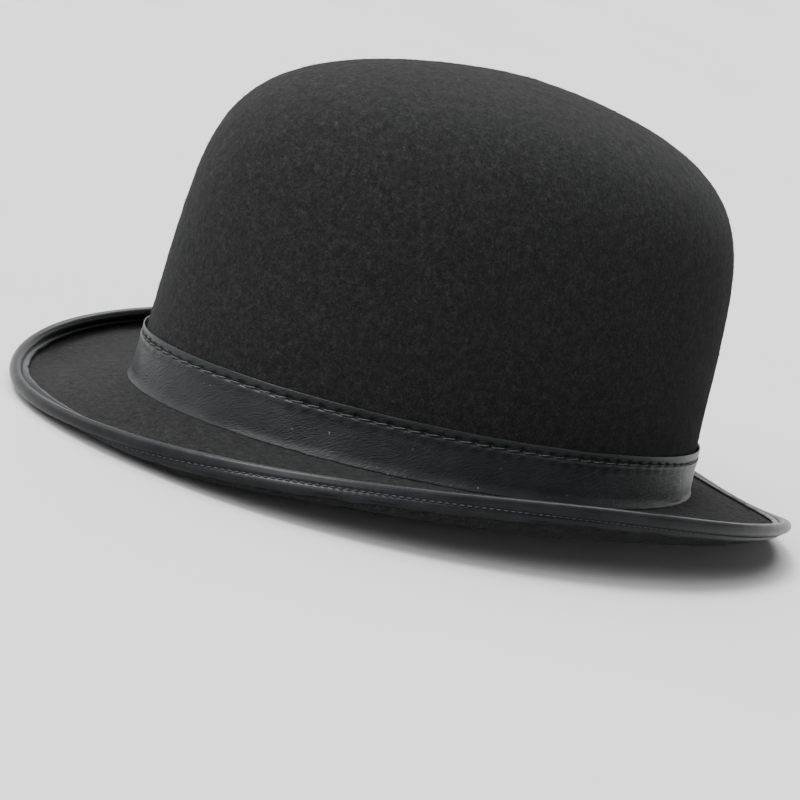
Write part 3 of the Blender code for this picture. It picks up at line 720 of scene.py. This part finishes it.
def make_binding(material, thread):
    columns = BINDING_COLUMNS
    t = turns(columns)
    brim = Brim(t)
    inner = FELT / 2 + 0.05 * MM
    outer = FELT / 2 + GAP + BINDING_SKIN
    centre, out, up = brim.frame(outer)
    rim_run = np.linalg.norm(np.roll(centre, -1, axis=0) - centre, axis=1).cumsum()
    total = rim_run[-1]
    count = int(round(total / BINDING_PITCH))
    s = np.concatenate([[0], rim_run[:-1]])
    phase = (s / total * count) % 1
    pucker = np.sin(np.pi * phase) ** 2
    edge_wave = 0.22 * MM * np.interp(s, np.linspace(0, total, 160), np.append(RNG.uniform(-1, 1, 159), 0))
    thick = 0.40 * MM * lapped(t, BINDING_LAP, 0.22, 5, 2.5)

    def at(distance, height):
        here, _, normal = brim.frame(distance)
        return here + normal * np.broadcast_to(height, t.shape)[:, None]

    def leg(side):
        """The visible face from its cut edge to near the rim, above the felt or, at side -1, under it."""
        rows = []
        reach = BINDING_REACH + edge_wave * (1 if side > 0 else 0.8)
        top = outer + thick
        for back, high in ((0.0, -0.62), (0.02, -0.40), (0.10, -0.18), (0.30, -0.05), (0.60, 0.0)):
            rows.append((reach - back * MM, side * (top + high * MM)))
        for along in (1.9, 1.5, 1.1, 0.8, 0.55, 0.35, 0.18, 0.0, -0.18, -0.35, -0.55, -0.8, -1.1, -1.4,
                      -1.7):
            dent = 0.42 * np.exp(-((along / 0.42) ** 2)) - 0.12 * np.exp(-(((along - 1.3) / 0.6) ** 2))
            tug = 0.14 * np.exp(-((along / 0.9) ** 2)) * (1 - pucker)
            rows.append((BINDING_STITCH + along * MM + 0 * s, side * (top - (dent + tug) * MM)))
        return [at(distance, height) for distance, height in rows]

    section = leg(1)
    section += [centre + (outer + thick)[:, None] * (np.cos(a) * out + np.sin(a) * up)
                for a in np.radians(np.linspace(90, -90, 15))]
    section += leg(-1)[::-1]
    visible = len(section)
    deep, middle = BINDING_REACH - 0.3 * MM, 4.2 * MM
    section += [at(deep, -inner), at(middle, -inner)]
    section += [centre + inner * (np.cos(a) * out + np.sin(a) * up)
                for a in np.radians((-90, -45, 0, 45, 90))]
    section += [at(middle, inner), at(deep, inner)]
    section = np.stack(section)
    away = unit(section - brim.frame(3.5 * MM)[0][None])
    section[:visible] += away[:visible] * (0.05 * MM * lumps(section[:visible], 6 * MM))[:, :, None]
    made = closed_ring("brim_binding_tape", list(section), material)
    strip_uv(made, section)
    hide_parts("brim_binding")

    fine_here, _, fine_up = brim.frame(BINDING_STITCH)
    steps = 7
    u, k = np.linspace(0, 1, steps), np.arange(count)[:, None]
    where = ((k + 0.16 + 0.68 * u) / count * total).ravel()
    arc = np.sin(np.pi * u)
    rise = outer - 0.42 * MM + 0.26 * MM * arc**0.5 - 0.3 * MM * (1 - arc) ** 8
    rise = np.tile(rise, count) + np.interp(where, s, thick)
    base = np.stack([np.interp(where, s, fine_here[:, c], period=total) for c in range(3)], -1)
    lift = unit(np.stack([np.interp(where, s, fine_up[:, c], period=total) for c in range(3)], -1))
    for side, name, node in ((1, "binding_stitches_top", "binding_needle_thread"),
                             (-1, "binding_stitches_under", "binding_bobbin_thread")):
        paths = (base + lift * (side * rise)[:, None]).reshape(count, steps, 3)
        points, faces = tubes(paths, 0.16 * MM, 6, 0.3, lift.reshape(count, steps, 3))
        made = build(name, points, faces, thread)
        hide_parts(node)


# ---------------------------------------------------------------- inside


def add_uv(made, rows, columns, width, height):
    """Metres round and up as the first UV map, for a piece whose vertices are rings of one size."""
    loops = vertices_of_loops(made)
    i, j = loops // columns, loops % columns
    per_face = np.empty(len(made.data.polygons), np.int32)
    made.data.polygons.foreach_get("loop_total", per_face)
    owner = np.repeat(np.arange(len(per_face)), per_face)
    highest = np.zeros(len(per_face), np.int32)
    np.maximum.at(highest, owner, j)
    wraps = (highest[owner] == columns - 1) & (j == 0)
    u = (j + columns * wraps) * width / columns
    v = np.minimum(i, rows) * height / rows
    made.data.uv_layers.new(name="cloth").data.foreach_set("uv", np.stack([u, v], 1).ravel())


def make_sweatband(material, thread):
    t = turns(SWEATBAND_COLUMNS)
    outer, inner = SWEATBAND_INSET, SWEATBAND_INSET + SWEATBAND_SKIN
    wide = SWEATBAND_TOP - SWEATBAND_BOTTOM
    wave = 0.35 * MM * np.sin(9 * t) + 0.25 * MM * np.sin(14 * t + 1)

    def lean(share):
        """How far the tape's free upper part waves inwards."""
        return np.maximum(wave * smooth_step((share - 0.45) / 0.55) * 0.8, -0.2 * MM)

    rows = []
    for share in np.linspace(0, 1, 22):
        height = SWEATBAND_BOTTOM + share * wide
        dent = 0.18 * MM * np.exp(-(((height - SWEATBAND_STITCH) / (0.8 * MM)) ** 2))
        rows.append(wall_ring(t, height, -inner + dent - lean(share)))
    rows.append(wall_ring(t, SWEATBAND_TOP + 0.12 * MM, -(inner + outer) / 2 - lean(1)))
    for share in np.linspace(1, 0, 8):
        rows.append(wall_ring(t, SWEATBAND_BOTTOM + share * wide, -outer - lean(share)))
    made = closed_ring("sweatband_tape", rows, material)
    add_uv(made, len(rows), SWEATBAND_COLUMNS, SWEATBAND_ROUND, 2 * SWEATBAND_TOP)
    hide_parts("sweatband")
    # slanting stitches every few millimetres, by turns up and down, hold it to the felt
    count, steps = OVERCASTS, 7
    u, k = np.linspace(0, 1, steps), np.arange(count)[:, None]
    angle = ((k + 0.12 + 0.70 * u) / count * 2 * np.pi).ravel()
    slant = (1 - 2 * (k % 2)) * (u - 0.5) * 0.9 * MM
    height = SWEATBAND_STITCH + slant.ravel()
    depth = -inner + 0.05 * MM - np.tile(0.22 * MM * np.sin(np.pi * u) ** 0.5, count)
    paths = wall_ring(angle, height, depth).reshape(count, steps, 3)
    points, faces = tubes(paths, 0.19 * MM, 6, 0.3)
    made = build("sweatband_stitches", points, faces, thread)
    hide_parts("sweatband_thread")


def folds(t, z, seed):
    """How far the lining stands in from its own line: soft upright folds that differ round the hat."""
    mesh = np.stack([np.cos(t) * 4.2 + 0 * z, np.sin(t) * 4.2 + 0 * z, z / (60 * MM) + seed + 0 * t], -1)
    flat = mesh.reshape(-1, 3).tolist()
    values = np.array([noise.fractal(p, 0.9, 2.0, 3) for p in flat]).reshape(mesh.shape[:-1])
    return np.clip(values + 0.35, 0, None)


def lining_ring(t, share, inset, lean):
    """A ring of the lining's face, drawn in from its place by lean."""
    tall = CROWN_HEIGHT - inset
    ring = crown_ring(t, share * tall, inset)
    ahead = crown_ring(t, min(share + 0.004, 0.9995) * tall, inset)
    back = crown_ring(t, (share - 0.004) * tall, inset)
    round_ = np.roll(ring, -1, axis=0) - np.roll(ring, 1, axis=0)
    inward = unit(np.cross(ahead - back, round_))
    centre = np.array([0, CROWN_CENTRE_Y, BREAK_HEIGHT + 0.5 * CROWN_HEIGHT])
    if inward[0] @ (centre - ring[0]) < 0:
        inward = -inward
    return ring + inward * np.broadcast_to(lean, t.shape)[:, None]


def make_lining(material):
    """The satin in its two panels, the side strip and the tip, with a little air behind its folds."""
    t = turns(LINING_COLUMNS)
    inset = FELT + LINING_GAP
    seam = np.sin(LINING_SEAM) ** (2 / SHOULDER_RISE)
    shares = np.linspace(LINING_BOTTOM / CROWN_HEIGHT, seam - 0.003, 44)
    rings = []
    for order, behind in ((shares, 0), (shares[::-1], LINING_SKIN)):
        for share in order:
            held = smooth_step((share - 0.24) / 0.12) * smooth_step((seam - share) / 0.10)
            lean = 1.5 * MM * held * folds(t, np.array(share * CROWN_HEIGHT), 3.0) + behind
            rings.append(lining_ring(t, share, inset, lean))
    side = closed_ring("lining_side_satin", rings, material)
    add_uv(side, len(rings), LINING_COLUMNS, 0.58, 0.21)
    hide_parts("lining_side")

    outer, inner = [], []
    for share in np.sin(np.linspace(LINING_SEAM + 0.012, np.radians(88.6), 30)) ** (2 / SHOULDER_RISE):
        k = crown_share(share)
        held = smooth_step((0.86 - k) / 0.2)
        places = [(np.cos(a) * k * 3, np.sin(a) * k * 3, 7.0) for a in t]
        radial = np.array([noise.fractal(place, 0.8, 2.0, 3) for place in places])
        sag = held * (0.5 + 1.1 * np.clip(radial + 0.3, 0, None)) * MM
        outer.append(lining_ring(t, share, inset, sag))
        inner.append(lining_ring(t, share, inset, sag + LINING_SKIN))
    tip = two_skins("lining_tip_satin", np.stack(outer), np.stack(inner), material)
    cloth_uv(tip, np.array([vertex.co.xy for vertex in tip.data.vertices]))
    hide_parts("lining_tip")


def on_sweatband(angle, along, height, clear):
    """Points on the sweatband's inner face: along it from an angle, at a height, and clear of it inwards."""
    inner = SWEATBAND_INSET + SWEATBAND_SKIN
    fine = angle + np.linspace(-0.6, 0.6, 481)
    ring = wall_ring(fine, BOW_HEIGHT, -inner)
    run = np.concatenate([[0], np.linalg.norm(np.diff(ring, axis=0), axis=1).cumsum()])
    run -= run[len(fine) // 2]
    return wall_ring(np.interp(along, run, fine), height, -inner - clear)


def ribbon_strip(name, angle, centre, half_width, half_thick, normals, heights, material):
    """A closed ribbon. centre gives its (along, clear) line, heights the middle of its width."""
    corners = []
    across = np.linspace(-1, 1, 9)
    for face, order in ((1, across), (-1, across[::-1])):
        along = centre[:, 0] + normals[:, 0] * half_thick * face
        clear = centre[:, 1] + normals[:, 1] * half_thick * face
        corners += [on_sweatband(angle, along, heights + a * half_width, clear) for a in order]
    rows = np.stack(corners, 1)
    count, size = rows.shape[:2]
    faces = grid_faces(count, size)
    faces += [list(range(size))[::-1], [(count - 1) * size + k for k in range(size)]]
    made = build(name, rows.reshape(-1, 3), faces, material)
    face_out(made)
    add_uv(made, count, size, 4 * half_width.max(), 0.06)
    return made


def make_bow(material):
    """Two flat loops of ribbon pinched under a wrap, sewn at the nape."""
    turn = np.linspace(0, 1, 97)
    reach, deep = 14.6 * MM, 0.72 * MM
    # out along the near face and back along the far one, on both sides
    along = reach * np.sin(2 * np.pi * turn)
    open_ = np.abs(along) / reach
    side = np.sign(np.cos(2 * np.pi * turn))
    clear = 1.80 * MM + side * deep * np.clip(open_ * 3.2, 0.28, 1) * np.sqrt(np.clip(1 - open_**6, 0, 1))
    line = np.stack([along, clear], -1)
    tangent = unit(np.gradient(line, axis=0))
    normals = np.stack([-tangent[:, 1], tangent[:, 0]], -1)
    half = (1.9 + 2.0 * smooth_step(open_ / 0.75)) * MM
    part = slice(2, -2)
    made = ribbon_strip("bow_loops", np.pi, line[part], half[part], 0.15 * MM, normals[part],
                        np.full(len(turn) - 4, BOW_HEIGHT), material)
    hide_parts("sweatband_bow")

    # the wrap: a rounded loop about the pinch, its outer face and then its inner one
    around = turns(40)
    tall, middle, deep = 2.9 * MM, 1.725 * MM, 1.275 * MM
    upward = np.sign(np.sin(around)) * np.abs(np.sin(around)) ** 0.5
    inward = np.sign(np.cos(around)) * np.abs(np.cos(around)) ** 0.5
    rings = []
    for grow, across in ((0.0, np.linspace(-1, 1, 7)), (-0.3 * MM, np.linspace(1, -1, 7))):
        for a in across:
            more = grow + 0.12 * MM * (1 - a * a)
            along = np.full(len(around), a * 2.0 * MM)
            height, clear = BOW_HEIGHT + upward * (tall + more), middle + inward * (deep + more)
            rings.append(on_sweatband(np.pi, along, height, clear))
    made = closed_ring("bow_wrap", rings, material)
    add_uv(made, len(rings), len(around), 0.012, 0.008)
    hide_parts("sweatband_bow_wrap")


def make_label(material, thread):
    """A blank woven label, with three small stitches up each end."""
    rows, columns = 41, 25
    a, b = np.meshgrid(np.linspace(-1, 1, rows), np.linspace(-1, 1, columns), indexing="ij")
    edge = smooth_step((1 - np.abs(a)) / 0.06) * smooth_step((1 - np.abs(b)) / 0.08)
    swell = 0.10 * MM * np.array([noise.noise((x * 2.0, y * 2.0, 5)) for x, y in zip(a.ravel(), b.ravel())])
    clear = 0.62 * MM + (swell.reshape(a.shape) + 0.10 * MM * edge)
    along, up = (a * LABEL_LONG / 2).ravel(), (b * LABEL_TALL / 2).ravel()
    front = on_sweatband(LABEL_ANGLE, along, LABEL_HEIGHT + up, clear.ravel())
    back = on_sweatband(LABEL_ANGLE, along, LABEL_HEIGHT + up, 0.36 * MM)
    offset = rows * columns
    faces = grid_faces(rows, columns, wrap_columns=False)
    faces += grid_faces(rows, columns, wrap_columns=False, start=offset, flip=True)
    edge_loop = list(range(columns)) + [i * columns + columns - 1 for i in range(1, rows)]
    edge_loop += [(rows - 1) * columns + j for j in range(columns - 2, -1, -1)]
    edge_loop += [i * columns for i in range(rows - 2, 0, -1)]
    for p, q in zip(edge_loop, edge_loop[1:] + edge_loop[:1]):
        faces.append((q, p, offset + p, offset + q))
    made = build("label_blank", np.concatenate([front, back]), faces, material)
    face_out(made)
    cloth_uv(made, np.tile(np.stack([along, up], -1), (2, 1)))
    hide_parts("size_label")
    u = np.linspace(0, 1, 7)
    arch = 0.50 * MM + 0.30 * MM * np.sin(np.pi * u) ** 0.5
    paths = []
    for x in (-1, 1):
        for y in (-0.8, 0.0, 0.8):
            along = x * (LABEL_LONG / 2 - 1.0 * MM) + 0 * u
            height = LABEL_HEIGHT + y * LABEL_TALL / 2 + (u - 0.5) * 2.6 * MM
            paths.append(on_sweatband(LABEL_ANGLE, along, height, arch))
    points, faces = tubes(np.stack(paths), 0.16 * MM, 6, 0.3, np.array([1.0, 0.3, 0]))
    made = build("label_stitches", points, faces, thread)


# ---------------------------------------------------------------- stage, light, camera


def make_floor():
    """A round floor that sweeps up far from the hat."""
    level, columns = -1.25 * MM, 96  # the felt's lumps reach a little below the solids
    radii = np.array([0, 1, 2, 3, 4, 5, 6, 8, 11, 15, 21, 30])
    rise = 0.11 * np.clip(radii - 3, 0, None) ** 1.35
    around = turns(columns)
    points = np.stack([np.outer(radii, np.cos(around)), np.outer(radii, np.sin(around)),
                       np.repeat(rise[:, None] + level, columns, 1)], -1)
    meshed("floor", points.reshape(-1, 3), grid_faces(len(radii), columns), floor_material())


def make_sun(name, direction, strength, angle):
    """A wide far lamp, the direction towards it and its angle in degrees."""
    lamp = bpy.data.lights.new(name, "SUN")
    lamp.energy, lamp.angle = strength, np.radians(angle)
    placed(name, lamp).rotation_euler = (-Vector(direction)).to_track_quat("-Z", "Y").to_euler()


def make_world(strength):
    world = bpy.data.worlds.new("studio")
    world.use_nodes = True
    background = world.node_tree.nodes["Background"]
    background.inputs[0].default_value = (1, 1, 1, 1)
    background.inputs[1].default_value = strength
    bpy.context.scene.world = world


def make_camera():
    azimuth, elevation, roll = np.radians((64.892, 10.032, 13.960))
    level = np.array([np.sin(azimuth), -np.cos(azimuth), 0])
    back = np.cos(elevation) * level + np.sin(elevation) * UP
    right = unit(np.cross(-back, UP))
    up = np.cross(right, -back)
    across = np.cos(roll) * right + np.sin(roll) * up
    upward = -np.sin(roll) * right + np.cos(roll) * up
    crown_middle = np.array([0, CROWN_CENTRE_Y, 60 * MM + BREAK_HEIGHT])
    aim = crown_middle - 7.9 * MM * right - 47.36 * MM * up
    place = aim + back * 808.6 * MM
    camera = bpy.data.cameras.new("camera")
    camera.sensor_width = 36.0
    camera.lens = 101.22
    made = placed("camera", camera)
    matrix = Matrix.Identity(4)
    for column, axis in enumerate((across, upward, back, place)):
        for row in range(3):
            matrix[row][column] = axis[row]
    made.matrix_world = matrix
    bpy.context.scene.camera = made


felt = felt_material()
# the stray fibres are the felt's own wool with its shades lifted 1.9 times: a painted sheen for the light
# the loose hairs catch
fibre_painted_sheen = felt_material("wool_fibre_painted_sheen", 1.9)
band_leather = leather_material("band_leather", (0.0140, 0.0151, 0.0158), 0.22, 0.16, (0.36, 0.42), 0.2)
binding_leather = leather_material("binding_leather", (0.0094, 0.0097, 0.0104), 0.04, 0.08, (0.28, 0.34), 0)
band_thread = thread_material("band_thread", (0.024, 0.028, 0.026), (0.072, 0.078, 0.070))
binding_thread = thread_material("binding_thread", (0.020, 0.022, 0.027), (0.062, 0.067, 0.078))
black_thread = thread_material("sweatband_thread", (0.012, 0.012, 0.013), (0.04, 0.04, 0.042))
tape = ribbed_material("sweatband_cloth", (0.008, 0.008, 0.009), (0.035, 0.035, 0.037), 420)
ribbon = ribbed_material("bow_ribbon", (0.007, 0.007, 0.009), (0.03, 0.03, 0.034), 520)
satin = satin_material()
label = weave_material("label_cloth", (0.42, 0.41, 0.38), (0.68, 0.67, 0.63), 700)

top_side, under_side, top_normal, under_normal = make_felt(felt)
make_fuzz("felt_fuzz_top", top_side, top_normal, FIBRES, fibre_painted_sheen)
make_fuzz("felt_fuzz_under", under_side, -under_normal, FIBRES // 3, fibre_painted_sheen, (4, 38))
make_band(band_leather, band_thread, top_side)
make_binding(binding_leather, binding_thread)
make_sweatband(tape, black_thread)
make_lining(satin)
make_bow(ribbon)
make_label(label, black_thread)
for node, material in (("sweatband_reed", plastic_material()), ("lining_seam_thread", black_thread)):
    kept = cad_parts[node]
    kept.data.materials.clear()
    kept.data.materials.append(material)

make_floor()
make_world(0.22)
make_sun("key", (-0.12, -0.38, 0.92), 5.6, 24)
make_sun("sky", (-0.25, -0.30, 0.92), 4.3, 90)
make_sun("back", (-0.55, 0.28, 0.79), 3.3, 40)
make_sun("front", (0.46, -0.66, 0.60), 2.4, 36)
make_camera()
